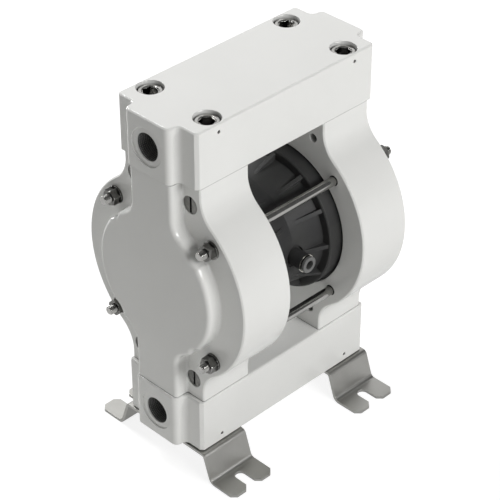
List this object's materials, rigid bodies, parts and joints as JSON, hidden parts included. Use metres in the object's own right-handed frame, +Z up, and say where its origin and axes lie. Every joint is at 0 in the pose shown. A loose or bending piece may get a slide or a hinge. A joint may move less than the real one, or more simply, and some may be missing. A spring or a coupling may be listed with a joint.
{
  "type": "air operated diaphragm pump",
  "caption": "Air operated double diaphragm pump: plastic-block manifolds and round housings on a dark ribbed centre body, tie rods, ball valves, threaded ports, bent steel feet.",
  "frame": {"origin": "centre of the footprint, on the floor under the feet", "axes": "+X along the diaphragm shaft away from the open ports, -Y towards the side with the air inlet fitting, +Z up"},
  "size_m": [0.222, 0.183, 0.3425],
  "materials": {
    "pale_plastic": "machined thermoplastic block, fine satin",
    "black_plastic": "moulded, satin black",
    "stainless_sheet": "brushed stainless sheet",
    "stainless_fastener": "bright stainless fasteners",
    "nickel_ring": "nickel plated",
    "collet_grey": "moulded grey",
    "diaphragm_white": "fluoropolymer faced rubber",
    "seal_black": "moulded rubber",
    "ball_white": "turned fluoropolymer",
    "valve_plastic": "machined thermoplastic",
    "shaft_steel": "ground stainless shaft",
    "plate_aluminium": "turned aluminium",
    "bush_plastic": "bearing plastic",
    "silencer_plastic": "sintered plastic"
  },
  "bodies": {
    "pump": {"outlet_manifold": "pale_plastic", "inlet_manifold": "pale_plastic", "left_housing": "pale_plastic", "right_housing": "pale_plastic", "outlet_port_plug": "pale_plastic", "inlet_port_plug": "pale_plastic", "centre_body": "black_plastic", "air_fitting_body": "black_plastic", "left_foot_bracket": "stainless_sheet", "right_foot_bracket": "stainless_sheet", "foot_screws": "stainless_fastener", "outlet_manifold_screws": "stainless_fastener", "inlet_manifold_screws": "stainless_fastener", "outlet_dowel_nuts": "stainless_fastener", "inlet_dowel_nuts": "stainless_fastener", "tie_rods": "stainless_fastener", "left_nuts": "stainless_fastener", "right_nuts": "stainless_fastener", "left_washers": "stainless_fastener", "right_washers": "stainless_fastener", "fitting_cap_ring": "nickel_ring", "left_diaphragm": "diaphragm_white", "right_diaphragm": "diaphragm_white", "inlet_joint_rings": "seal_black", "outlet_joint_rings": "seal_black", "shaft_seals": "seal_black", "inlet_valve_seats": "valve_plastic", "outlet_valve_seats": "valve_plastic", "inlet_ball_cages": "valve_plastic", "outlet_ball_cages": "valve_plastic", "shaft_bushes": "bush_plastic", "spool_sleeve": "bush_plastic", "valve_end_caps": "bush_plastic", "pilot_bushes": "bush_plastic", "exhaust_silencer": "silencer_plastic"},
    "shaft": {"diaphragm_shaft": "shaft_steel", "left_inner_plate": "plate_aluminium", "right_inner_plate": "plate_aluminium", "left_outer_plate": "pale_plastic", "right_outer_plate": "pale_plastic"},
    "left_inlet_ball": {"left_inlet_ball": "ball_white"},
    "right_inlet_ball": {"right_inlet_ball": "ball_white"},
    "left_outlet_ball": {"left_outlet_ball": "ball_white"},
    "right_outlet_ball": {"right_outlet_ball": "ball_white"},
    "spool": {"main_spool": "plate_aluminium", "spool_rings": "seal_black"},
    "pilot": {"pilot_piston": "shaft_steel"},
    "collet": {"fitting_collet": "collet_grey"}
  },
  "joints": [
    {"name": "shaft_stroke", "type": "slide", "parent": "pump", "child": "shaft", "axis": [1, 0, 0], "range_m": [-0.008, 0.008], "deforming": ["left_diaphragm", "right_diaphragm"]},
    {"name": "left_inlet_ball_lift", "type": "slide", "parent": "pump", "child": "left_inlet_ball", "axis": [0, 0, 1], "range_m": [0, 0.007]},
    {"name": "right_inlet_ball_lift", "type": "slide", "parent": "pump", "child": "right_inlet_ball", "axis": [0, 0, 1], "range_m": [0, 0.007]},
    {"name": "left_outlet_ball_lift", "type": "slide", "parent": "pump", "child": "left_outlet_ball", "axis": [0, 0, 1], "range_m": [0, 0.007]},
    {"name": "right_outlet_ball_lift", "type": "slide", "parent": "pump", "child": "right_outlet_ball", "axis": [0, 0, 1], "range_m": [0, 0.007]},
    {"name": "spool_shift", "type": "slide", "parent": "pump", "child": "spool", "axis": [1, 0, 0], "range_m": [-0.004, 0.004]},
    {"name": "pilot_shift", "type": "slide", "parent": "pump", "child": "pilot", "axis": [1, 0, 0], "range_m": [-0.0035, 0.0035]},
    {"name": "collet_release", "type": "slide", "parent": "pump", "child": "collet", "axis": [0, 1, 0], "range_m": [0, 0.001], "stiffness_N_per_m": 2000}
  ]
}
